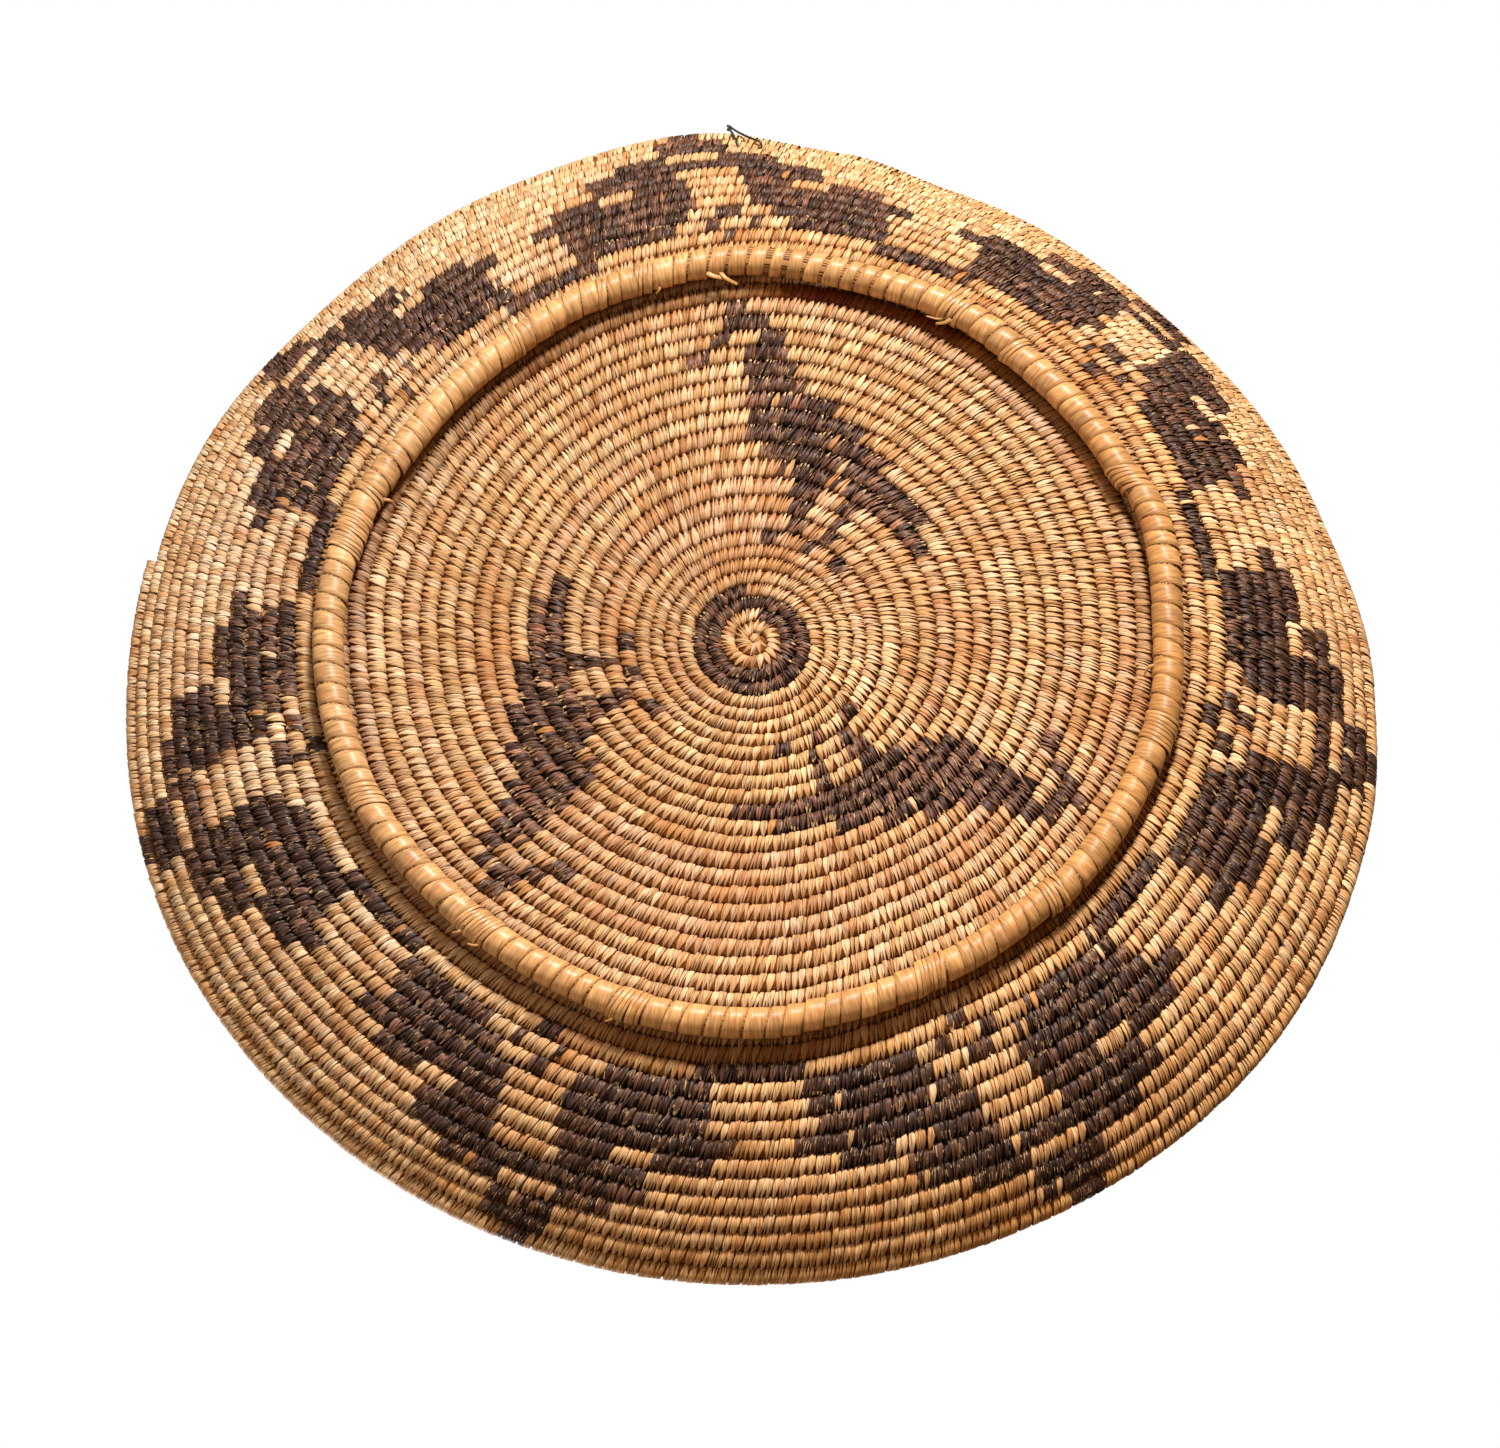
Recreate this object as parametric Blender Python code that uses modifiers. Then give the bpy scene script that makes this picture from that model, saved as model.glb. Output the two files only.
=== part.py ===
# Coiled figural basket, standing on its foot ring at z = 0, mouth up. Metres, +Z up.
# One long coil spirals out from a knot at the centre, over the flat base and up the curved wall,
# to a blunt end at the rim. A ring of wrapped fibre is lashed under the base as its foot.
import math

import bpy
import bmesh
from mathutils import Matrix, Vector

# The coil: where its rows lie, measured along the profile from the centre
START_ARC = 0.0014
START_PITCH = 0.00386
COIL_PITCH = 0.00487
ROW_GAP = 0.00045
TIGHT_TURNS = 8.0
FIRST_TURN = 0.35
START_ANGLE = math.pi

# The profile: a flat base, then a wall that bends up at one radius
BASE_RADIUS = 0.103
BEND_RADIUS = 0.091
WALL_LENGTH = 0.078
LOWER_WALL_SHARE = 0.55
CENTRE_X = -0.00022
CENTRE_Y = -0.00069

# How much more, or less, than the even bend the wall curls up, by angle in degrees
RIM_CURL_SHARES = (
    (0, 0.05), (25, 0.0), (42, 0.07), (65, -0.03), (84, -0.13), (98, 0.05), (110, 0.2),
    (135, 0.3), (160, 0.25), (180, 0.1), (195, -0.02), (220, -0.16), (250, 0.0), (330, -0.02),
)

# The knot and the ends of the coil's lengths, in turns
KNOT_RADIUS = 0.0016
KNOT_HEIGHT = 0.003
START_TAPER_SHARE = 0.42
TAPER_TURNS = 0.4
EYE_FROM, EYE_TO = 1.76, 3.73
RIM_TURNS = 1.0
POINTS_PER_TURN = 19
COIL_SIDES = 6
END_GAP = 0.0004

# The foot ring: a core of fibre, wrapped in lengths of splint with lashings between them
FOOT_INSET = 0.0095
CORE_RADIUS = 0.0033
SLEEVE_GAP = 0.0003
WRAP_THICKNESS = 0.0007
WRAP_CROWN = 0.00018
FOOT_FLAT = 0.0005
SEAT_GAP = 0.0003
SQUARE_END = 0.0008
WRAP_PITCH = 0.0086
LASHING_PITCH = 0.0029
CUTTER_DEPTH = 0.01
MERGE_DISTANCE = 0.000003

# The ring's plan: its radius as a share of the even one, by angle in degrees
RING_PLAN_SHARES = (
    (0, 1.024), (-24, 1.022), (-45, 1.006), (-60, 1.006), (-75, 1.016), (-91, 1.016), (-103, 0.996),
    (-117, 0.981), (-132, 0.978), (-138, 0.99), (-155, 0.991), (-166, 1.0), (-180, 0.991),
    (-198, 1.013), (-207, 0.989), (-225, 0.986), (-240, 1.004), (-254, 0.997), (-272, 1.013),
    (-292, 0.995), (-310, 0.977), (-327, 0.981), (-343, 1.008), (-350, 1.016),
)

# Middle and width of each lashing round the ring, in degrees
LASHINGS = (
    (-24, 2.6), (-51, 3.8), (-73.5, 4.6), (-115.5, 3.0), (-137, 2.2),
    (-166, 2.4), (-201.5, 3.2), (-240, 2.6), (-284, 2.4), (-345.5, 3.0),
)

# The wire for hanging, tied over the rim
WIRE_RADIUS = 0.0003
WIRE_CLEARANCE = 0.00035
WIRE_TURNS_BACK = 0.789
WIRE_SPREAD = 0.0026
WIRE_ROWS_DOWN = 1.6
WIRE_STEPS = 3
WIRE_OVER_TURNS = (1.15, 0.55)
TWIST_RADIUS = 0.00055
TWIST_LENGTH = 0.0042
TWIST_LEAN = 0.0036
TWIST_TURNS = 2.0
TWIST_START_SHARE = 0.15
TWIST_STEPS = 12

STRAW = (0.66, 0.43, 0.2)
DARK = (0.05, 0.03, 0.026)
CANE = (0.72, 0.47, 0.2)
FIBRE = (0.45, 0.3, 0.15)
IRON = (0.06, 0.055, 0.05)


def clear_scene():
    for item in list(bpy.data.objects):
        bpy.data.objects.remove(item, do_unlink=True)


def new_collection(name):
    group = bpy.data.collections.new(name)
    bpy.context.scene.collection.children.link(group)
    return group


def make_material(name, colour, roughness, metallic=0.0):
    material = bpy.data.materials.new(name)
    material.use_nodes = True
    shader = material.node_tree.nodes["Principled BSDF"]
    shader.inputs["Base Color"].default_value = (*colour, 1.0)
    shader.inputs["Roughness"].default_value = roughness
    shader.inputs["Metallic"].default_value = metallic
    return material


def around(shares, angle):
    # the share at an angle, eased between the two listed angles on its sides
    degrees = math.degrees(angle) % 360
    listed = sorted((at % 360, share) for at, share in shares)
    listed = [(listed[-1][0] - 360, listed[-1][1])] + listed + [(listed[0][0] + 360, listed[0][1])]
    for (left, low), (right, high) in zip(listed, listed[1:]):
        if left <= degrees <= right:
            part = (degrees - left) / (right - left)
            return low + (high - low) * part * part * (3 - 2 * part)
    return 0.0


def row_arc(turn):
    # how far from the centre, along the profile, the coil lies after this many turns
    tight = min(turn, TIGHT_TURNS)
    return START_ARC + START_PITCH * tight + COIL_PITCH * (turn - tight)


def turn_at(arc):
    # how many turns the coil has made where it lies this far out, past its tight start
    return TIGHT_TURNS + (arc - START_ARC - START_PITCH * TIGHT_TURNS) / COIL_PITCH


def last_turn():
    return turn_at(BASE_RADIUS + WALL_LENGTH)


def coil_radius(turn):
    # half of what the rows leave free, thinner at the start and growing where the pitch grows
    flat = math.cos(math.pi / POINTS_PER_TURN)
    late = max(turn - TIGHT_TURNS, 0.0) * (COIL_PITCH - START_PITCH)
    full = (min(START_PITCH / 2 + late, COIL_PITCH / 2) * flat) - ROW_GAP / 2
    grown = START_TAPER_SHARE + (1 - START_TAPER_SHARE) * (turn - FIRST_TURN) / TAPER_TURNS
    return full * min(grown, 1.0)


def sleeve_radius():
    return CORE_RADIUS + SLEEVE_GAP + WRAP_THICKNESS


def base_height():
    # the height of the coil's middle where the base rests on the foot ring
    flat_side = coil_radius(last_turn()) * math.cos(math.pi / COIL_SIDES)
    return 2 * sleeve_radius() - FOOT_FLAT + SEAT_GAP + flat_side


def wall_frame(arc, angle):
    # a point of the profile, the way up the wall there, and the way out through it
    bend = max(arc - BASE_RADIUS, 0.0) / BEND_RADIUS
    curl = 1 + around(RIM_CURL_SHARES, angle)
    turned = bend * curl
    reach = min(arc, BASE_RADIUS) + BEND_RADIUS / curl * math.sin(turned)
    rise = BEND_RADIUS / curl * (1 - math.cos(turned))
    out = Vector((math.cos(angle), math.sin(angle), 0))
    point = Vector((CENTRE_X, CENTRE_Y, base_height() + rise)) + reach * out
    up = math.cos(turned) * out + Vector((0, 0, math.sin(turned)))
    away = math.sin(turned) * out - Vector((0, 0, math.cos(turned)))
    return point, up, away


def turn_angle(turn):
    return START_ANGLE + 2 * math.pi * turn


def coil_point(turn):
    # on the straight stretch between the two stations beside it
    before = math.floor(turn * POINTS_PER_TURN) / POINTS_PER_TURN
    after = before + 1 / POINTS_PER_TURN
    low = wall_frame(row_arc(before), turn_angle(before))[0]
    high = wall_frame(row_arc(after), turn_angle(after))[0]
    return low.lerp(high, (turn - before) * POINTS_PER_TURN)


def turn_stops(first, last):
    # an end lies halfway between two stations, where the coil runs straight on into the next
    start = math.floor(first * POINTS_PER_TURN)
    end = math.floor(last * POINTS_PER_TURN)
    return [count / POINTS_PER_TURN for count in (start + 0.5, *range(start + 1, end + 1), end + 0.5)]


def make_tube(name, points, radii, group, resolution=1, cyclic=False):
    curve = bpy.data.curves.new(name, "CURVE")
    curve.dimensions = "3D"
    curve.bevel_depth = max(radii)
    curve.bevel_resolution = resolution
    curve.use_fill_caps = not cyclic
    curve.twist_mode = "Z_UP"
    spline = curve.splines.new("POLY")
    spline.points.add(len(points) - 1)
    for target, point, radius in zip(spline.points, points, radii):
        target.co = (*point, 1)
        target.radius = radius / max(radii)
    spline.use_cyclic_u = cyclic
    tube = bpy.data.objects.new(name, curve)
    group.objects.link(tube)
    return tube


def as_mesh(tube):
    # the same tube as a closed mesh, for cutting
    name = tube.name
    group = tube.users_collection[0]
    bpy.context.view_layer.update()
    graph = bpy.context.evaluated_depsgraph_get()
    mesh = bpy.data.meshes.new_from_object(tube.evaluated_get(graph))
    work = bmesh.new()
    work.from_mesh(mesh)
    bmesh.ops.remove_doubles(work, verts=work.verts, dist=MERGE_DISTANCE)
    bmesh.ops.recalc_face_normals(work, faces=work.faces)
    work.to_mesh(mesh)
    work.free()
    solid = bpy.data.objects.new(name, mesh)
    solid.matrix_world = tube.matrix_world
    bpy.data.objects.remove(tube, do_unlink=True)
    solid.name = name
    group.objects.link(solid)
    return solid


def hide_cutter(cutter):
    cutter.hide_render = True
    cutter.display_type = "WIRE"


def cut(target, cutter):
    modifier = target.modifiers.new("cut " + cutter.name, "BOOLEAN")
    modifier.operation = "DIFFERENCE"
    modifier.solver = "EXACT"
    modifier.object = cutter


def finish_mesh(item, material):
    item.data.materials.clear()
    item.data.materials.append(material)
    if item.type == "MESH":
        item.data.shade_smooth()
        item.data.set_sharp_from_angle(angle=math.radians(35))


def make_coil(name, first, last, material, group):
    # each end stands off by half a gap, so that the next length starts clear of this one
    stops = turn_stops(first, last)
    stops[0] += END_GAP / 2 / (2 * math.pi * row_arc(first))
    stops[-1] -= END_GAP / 2 / (2 * math.pi * row_arc(last))
    coil = make_tube(name, [coil_point(t) for t in stops], [coil_radius(t) for t in stops], group)
    finish_mesh(coil, material)


def make_knot(material, group):
    bpy.ops.mesh.primitive_cone_add(
        vertices=12, radius1=KNOT_RADIUS, radius2=KNOT_RADIUS, depth=KNOT_HEIGHT,
        location=(CENTRE_X, CENTRE_Y, base_height()),
    )
    knot = bpy.context.object
    knot.name = "center_knot"
    for holder in list(knot.users_collection):
        holder.objects.unlink(knot)
    group.objects.link(knot)
    bevel = knot.modifiers.new("round edges", "BEVEL")
    bevel.width = KNOT_RADIUS / 3
    bevel.segments = 2
    finish_mesh(knot, material)


def ring_radius(angle):
    return (BASE_RADIUS + FOOT_INSET) * around(RING_PLAN_SHARES, angle)


def ring_height():
    return sleeve_radius() - FOOT_FLAT


def ring_point(angle):
    flat = ring_radius(angle) * Vector((math.cos(angle), math.sin(angle), 0))
    return Vector((CENTRE_X, CENTRE_Y, ring_height())) + flat


def ring_along(angle):
    return Vector((-math.sin(angle), math.cos(angle), 0))


def squared_ends(points, start, end, length):
    # ends that face straight along the ring, so that two lengths meet square
    first = ring_point(start)
    last = ring_point(end)
    inner_first = first + length * ring_along(start)
    inner_last = last - length * ring_along(end)
    return [first, inner_first] + points + [inner_last, last]


def ring_span(start, end, step):
    # whole steps of about this length between two angles of the ring
    length = (end - start) * (BASE_RADIUS + FOOT_INSET)
    count = max(round(length / step), 1)
    return [start + (end - start) * k / count for k in range(count + 1)]


def foot_sections():
    # each length of the ring's wrapping: its name, its two ends and the pitch of its wraps
    clear = SEAT_GAP / (BASE_RADIUS + FOOT_INSET) / 2
    ends = [(math.radians(at - wide / 2), math.radians(at + wide / 2)) for at, wide in LASHINGS]
    after = ends[1:] + [(ends[0][0] - 2 * math.pi, ends[0][1] - 2 * math.pi)]
    sections = []
    for number, (lashing, following) in enumerate(zip(ends, after), 1):
        low, high = lashing
        sections.append(("foot_lashing_%02d" % number, low + clear, high - clear, LASHING_PITCH))
        sections.append(("foot_wrap_%02d" % number, following[1] + clear, low - clear, WRAP_PITCH))
    return sections


def core_stops(start, end, pitch):
    # the core bends where the wraps meet, and runs straight under a lashing
    return ring_span(start, end, WRAP_PITCH) if pitch == WRAP_PITCH else [start, end]


def make_core(material, group):
    angles = sorted({stop for _, *section in foot_sections() for stop in core_stops(*section)})
    points = [ring_point(a) for a in angles]
    core = make_tube("foot_ring_core", points, [CORE_RADIUS] * len(points), group, 1, True)
    finish_mesh(core, material)


def make_floor_cutter(cutters):
    # all that lies under the plane the foot stands on
    side = 3 * (BASE_RADIUS + FOOT_INSET)
    bpy.ops.mesh.primitive_cube_add(size=1, location=(0, 0, -CUTTER_DEPTH / 2))
    floor = bpy.context.object
    floor.name = "floor_cutter"
    floor.data.transform(Matrix.Diagonal((side, side, CUTTER_DEPTH, 1)))
    for holder in list(floor.users_collection):
        holder.objects.unlink(floor)
    cutters.objects.link(floor)
    hide_cutter(floor)
    return floor


def make_wrapping(section, floor, material, group, cutters):
    # a length of wrapping: one low rib for each wrap, a bore for the core, flat under the foot
    name, start, end, pitch = section
    edges = ring_span(start, end, pitch)
    crown = sleeve_radius()
    edge = crown - WRAP_CROWN
    stops = []
    radii = []
    for left, right in zip(edges, edges[1:]):
        stops += [left, left + (right - left) / 2]
        radii += [edge, crown]
    stops.append(edges[-1])
    radii.append(edge)
    points = squared_ends([ring_point(a) for a in stops[1:-1]], start, end, SQUARE_END)
    sleeve = as_mesh(make_tube(name, points, [edge] + radii + [edge], group, 2))
    finish_mesh(sleeve, material)
    points = [ring_point(a) for a in core_stops(start, end, pitch)]
    points = [points[0] - SEAT_GAP * ring_along(start)] + points
    points.append(points[-1] + SEAT_GAP * ring_along(end))
    radius = CORE_RADIUS + SLEEVE_GAP
    bore = as_mesh(make_tube(name + "_bore", points, [radius] * len(points), cutters))
    hide_cutter(bore)
    cut(sleeve, bore)
    cut(sleeve, floor)


def wire_points():
    # from one end of the twist down one strand, under, up the other strand and round to the tip
    turn = last_turn() - WIRE_TURNS_BACK
    rim = coil_point(turn)
    _, up, away = wall_frame(row_arc(turn), turn_angle(turn))
    side = ring_along(turn_angle(turn))
    off = coil_radius(turn) + WIRE_RADIUS + WIRE_CLEARANCE
    foot = WIRE_ROWS_DOWN * COIL_PITCH
    over = [rim + off * (math.sin(a) * up + math.cos(a) * away) for a in WIRE_OVER_TURNS]
    strand = [rim - foot * k / WIRE_STEPS * up + off * away for k in range(WIRE_STEPS + 1)]
    left = [p - WIRE_SPREAD * side for p in over + strand]
    right = [p + WIRE_SPREAD * side for p in over + strand]
    axis = (TWIST_LENGTH * up - TWIST_LEAN * side).normalized()
    length = math.hypot(TWIST_LENGTH, TWIST_LEAN)
    second = axis.cross(side).normalized()
    helix = []
    for k in range(TWIST_STEPS + 1):
        wound = 2 * math.pi * TWIST_TURNS * k / TWIST_STEPS
        lifted = TWIST_START_SHARE + (1 - TWIST_START_SHARE) * k / TWIST_STEPS
        middle = rim + off * up + axis * length * lifted
        spin = TWIST_RADIUS * (math.cos(wound) * side + math.sin(wound) * second)
        helix.append((middle - spin, middle + spin))
    one = [pair[0] for pair in reversed(helix)]
    other = [pair[1] for pair in helix]
    return one + left + list(reversed(right)) + other


def make_wire(material, group):
    points = wire_points()
    wire = make_tube("hanger_wire", points, [WIRE_RADIUS] * len(points), group)
    finish_mesh(wire, material)


def least_gap():
    # between a row's middle line and the next row's, less both their radii
    gaps = []
    for count in range(math.ceil(EYE_FROM * POINTS_PER_TURN), int((last_turn() - 1) * POINTS_PER_TURN)):
        turn = count / POINTS_PER_TURN
        between = (coil_point(turn + 1) - coil_point(turn)).length
        gaps.append(between - coil_radius(turn) - coil_radius(turn + 1))
    return min(gaps)


def main():
    clear_scene()
    group = new_collection("figural_basket")
    cutters = new_collection("cutters")
    straw = make_material("straw splint", STRAW, 0.6)
    dark = make_material("dark splint", DARK, 0.55)
    cane = make_material("glossy cane", CANE, 0.4)
    fibre = make_material("core fibre", FIBRE, 0.8)
    iron = make_material("iron wire", IRON, 0.5, 0.8)
    make_knot(straw, group)
    make_coil("start_coil", FIRST_TURN, EYE_FROM, straw, group)
    make_coil("eye_ring_coil", EYE_FROM, EYE_TO, dark, group)
    base_to = turn_at(BASE_RADIUS + FOOT_INSET)
    lower_to = turn_at(BASE_RADIUS + LOWER_WALL_SHARE * WALL_LENGTH)
    upper_to = last_turn() - RIM_TURNS
    make_coil("base_coil", EYE_TO, base_to, straw, group)
    make_coil("lower_wall_coil", base_to, lower_to, straw, group)
    make_coil("upper_wall_coil", lower_to, upper_to, straw, group)
    make_coil("rim_coil", upper_to, last_turn(), straw, group)
    make_core(fibre, group)
    floor = make_floor_cutter(cutters)
    for section in foot_sections():
        make_wrapping(section, floor, cane, group, cutters)
    make_wire(iron, group)
    print("least gap between rows, mm:", round(least_gap() * 1000, 3))


main()
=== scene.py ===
# Looks of the coiled figural basket: every stitch of the coil, the wrapped foot ring and the hanger wire.
import math
import bpy
import numpy as np
from mathutils import Matrix, Vector


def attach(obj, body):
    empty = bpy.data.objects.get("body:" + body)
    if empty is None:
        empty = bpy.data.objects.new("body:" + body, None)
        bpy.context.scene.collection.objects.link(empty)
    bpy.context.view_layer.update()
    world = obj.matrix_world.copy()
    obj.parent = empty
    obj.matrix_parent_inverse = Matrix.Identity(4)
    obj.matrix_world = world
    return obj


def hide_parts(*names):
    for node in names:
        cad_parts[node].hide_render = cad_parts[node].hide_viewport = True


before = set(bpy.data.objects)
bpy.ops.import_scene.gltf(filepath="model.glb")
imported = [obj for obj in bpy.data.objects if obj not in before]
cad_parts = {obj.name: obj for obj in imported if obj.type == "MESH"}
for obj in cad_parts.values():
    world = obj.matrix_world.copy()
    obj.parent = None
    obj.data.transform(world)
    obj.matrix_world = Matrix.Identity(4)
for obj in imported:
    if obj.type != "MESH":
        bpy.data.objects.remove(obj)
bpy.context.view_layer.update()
chance = np.random.default_rng(7)

mm = 0.001

# The coil's line in metres and turns, with the CAD's values; its stitches begin before the CAD's tube
coil = dict(startArc=0.0014, startPitch=0.00386, pitch=0.00487, tightTurns=8.0, baseRadius=0.103,
            bendRadius=0.091, wallLength=0.078, centre=(-0.00022, -0.00069), baseHeight=0.010285, eyeFrom=1.76,
            eyeTo=3.73, firstTurn=-0.15, halfThick=0.00236, coreInset=0.00042, footInset=0.0095, lowerShare=0.55,
            strayTurns=(12, 22, 29), strayEnd=1.5)
curlShares = ((0, 0.05), (25, 0.0), (42, 0.07), (65, -0.03), (84, -0.13), (98, 0.05), (110, 0.2), (135, 0.3),
              (160, 0.25), (180, 0.1), (195, -0.02), (220, -0.16), (250, 0.0), (330, -0.02))
ringShares = ((0, 1.024), (-24, 1.022), (-45, 1.006), (-60, 1.006), (-75, 1.016), (-91, 1.016), (-103, 0.996),
              (-117, 0.981), (-132, 0.978), (-138, 0.99), (-155, 0.991), (-166, 1.0), (-180, 0.991),
              (-198, 1.013), (-207, 0.989), (-225, 0.986), (-240, 1.004), (-254, 0.997), (-272, 1.013),
              (-292, 0.995), (-310, 0.977), (-327, 0.981), (-343, 1.008), (-350, 1.016))
ring = dict(radius=0.1125, tubeRadius=0.0042, coreRadius=0.0038, height=0.0041, wrapDegrees=2.6,
            narrowDegrees=0.62, openFrom=71, openTo=101, openShares=(0.83, 0.93), closedShares=(0.965, 1.0),
            gaps=((86.5, 1.6, 0.6), (80.5, 1.3, 0.72)), lean=0.27, tint=(0.585, 0.295, 0.104))

# how far the rows stray outward along the profile from the CAD's, in mm, by degrees from the -X side,
# anticlockwise from below
strayMm = ((0, 0.5), (15, 1.5), (40, 2.1), (65, 3.4), (85, 3.2), (105, 1.3), (130, -0.5), (150, -0.4), (170, 0.7),
           (185, -0.5), (210, 0.3), (240, -1.3), (262, -0.4), (272, -0.8), (295, -3.4), (320, -1.4), (345, -0.3))

# how far the rows of the base lie toward +Y from the CAD's, in mm, by mm along the profile
driftMm = ((0, 4, 16, 30, 40, 52, 63, 75, 92, 103), (-0.5, -0.9, -1.5, -1.3, -0.2, 1.2, 1.7, 1.3, 0.5, 0))


def around(shares, angle):
    # share at an angle: smoothstep between the listed angles, as in the CAD
    listed = sorted((at % 360, share) for at, share in shares)
    listed = [(listed[-1][0] - 360, listed[-1][1])] + listed + [(listed[0][0] + 360, listed[0][1])]
    at = np.array([row[0] for row in listed])
    value = np.array([row[1] for row in listed])
    degrees = np.degrees(angle) % 360
    left = np.clip(np.searchsorted(at, degrees, side="right") - 1, 0, len(at) - 2)
    part = (degrees - at[left]) / (at[left + 1] - at[left])
    return value[left] + (value[left + 1] - value[left]) * part * part * (3 - 2 * part)


def arcAt(turn):
    # metres along the profile: the start, then so much a turn, more past the tight turns
    return coil["startArc"] + coil["startPitch"] * np.minimum(turn, coil["tightTurns"]) \
        + coil["pitch"] * np.maximum(turn - coil["tightTurns"], 0)


def turnAt(arc):
    # turns from metres along the profile, past the tight turns
    return coil["tightTurns"] + (arc - coil["startArc"] - coil["startPitch"] * coil["tightTurns"]) / coil["pitch"]


lastTurn = float(turnAt(coil["baseRadius"] + coil["wallLength"]))
baseTo = float(turnAt(coil["baseRadius"] + coil["footInset"]))
lowerTo = float(turnAt(coil["baseRadius"] + coil["lowerShare"] * coil["wallLength"]))


def coilFrame(turn):
    # point = (reach cos a, reach sin a, rise); up = along the profile; away = out through the wall;
    # along x up = away
    angle = math.pi + 2 * math.pi * turn
    fade = np.interp(turn, (*coil["strayTurns"], lastTurn - coil["strayEnd"]), (0, 1, 1, 0))
    arc = arcAt(turn) + fade * mm * around(strayMm, math.pi - angle)
    curl = 1 + around(curlShares, angle)
    turned = np.maximum(arc - coil["baseRadius"], 0) / coil["bendRadius"] * curl
    reach = np.minimum(arc, coil["baseRadius"]) + coil["bendRadius"] / curl * np.sin(turned)
    rise = coil["baseHeight"] + coil["bendRadius"] / curl * (1 - np.cos(turned))
    out = np.stack([np.cos(angle), np.sin(angle), 0 * angle], 1)
    tall = np.array([0, 0, 1.0])
    point = reach[:, None] * out + rise[:, None] * tall + np.array([*coil["centre"], 0])
    point[:, 1] += mm * np.interp(arc * 1000, *driftMm)
    up = np.cos(turned)[:, None] * out + np.sin(turned)[:, None] * tall
    away = np.sin(turned)[:, None] * out - np.cos(turned)[:, None] * tall
    along = np.stack([-np.sin(angle), np.cos(angle), 0 * angle], 1)
    return point, along, up, away, reach


def addAttributes(mesh, attributes):
    # one number or one vector for each point
    for key, values in attributes.items():
        kind = "FLOAT" if values.ndim == 1 else "FLOAT_VECTOR"
        layer = mesh.attributes.new(key, kind, "POINT")
        layer.data.foreach_set("value" if values.ndim == 1 else "vector", values.astype(np.float32).ravel())


def addMesh(name, points, quads, material, attributes=None, smooth=True):
    # a mesh from all its points and its faces of four corners
    mesh = bpy.data.meshes.new(name)
    mesh.vertices.add(len(points))
    mesh.vertices.foreach_set("co", np.ascontiguousarray(points, np.float32).ravel())
    mesh.loops.add(quads.size)
    mesh.loops.foreach_set("vertex_index", np.ascontiguousarray(quads, np.int32).ravel())
    mesh.polygons.add(len(quads))
    mesh.polygons.foreach_set("loop_start", np.arange(0, quads.size, 4, dtype=np.int32))
    mesh.polygons.foreach_set("use_smooth", np.full(len(quads), smooth))
    mesh.update(calc_edges=True)
    addAttributes(mesh, attributes or {})
    mesh.materials.append(material)
    piece = bpy.data.objects.new(name, mesh)
    bpy.context.scene.collection.objects.link(piece)
    return piece


def rowGap(turn):
    # how far apart the rows are there: |P(t + 1) - P(max(t - 1, 0.4 t))| / the turns between
    before = np.maximum(turn - 1, 0.4 * turn)
    same = coilFrame(turn + 1)[0] - coilFrame(turn)[0]
    both = (coilFrame(turn + 1)[0] - coilFrame(before)[0]) / 2
    return np.linalg.norm(np.where(turn[:, None] > 1.5, both, same), axis=1)


splint = dict(strandLength=0.0025, dipOut=0.45, dipReach=0.7, dipFrom=0.4, dipIn=0.25, dipPower=4)


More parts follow.
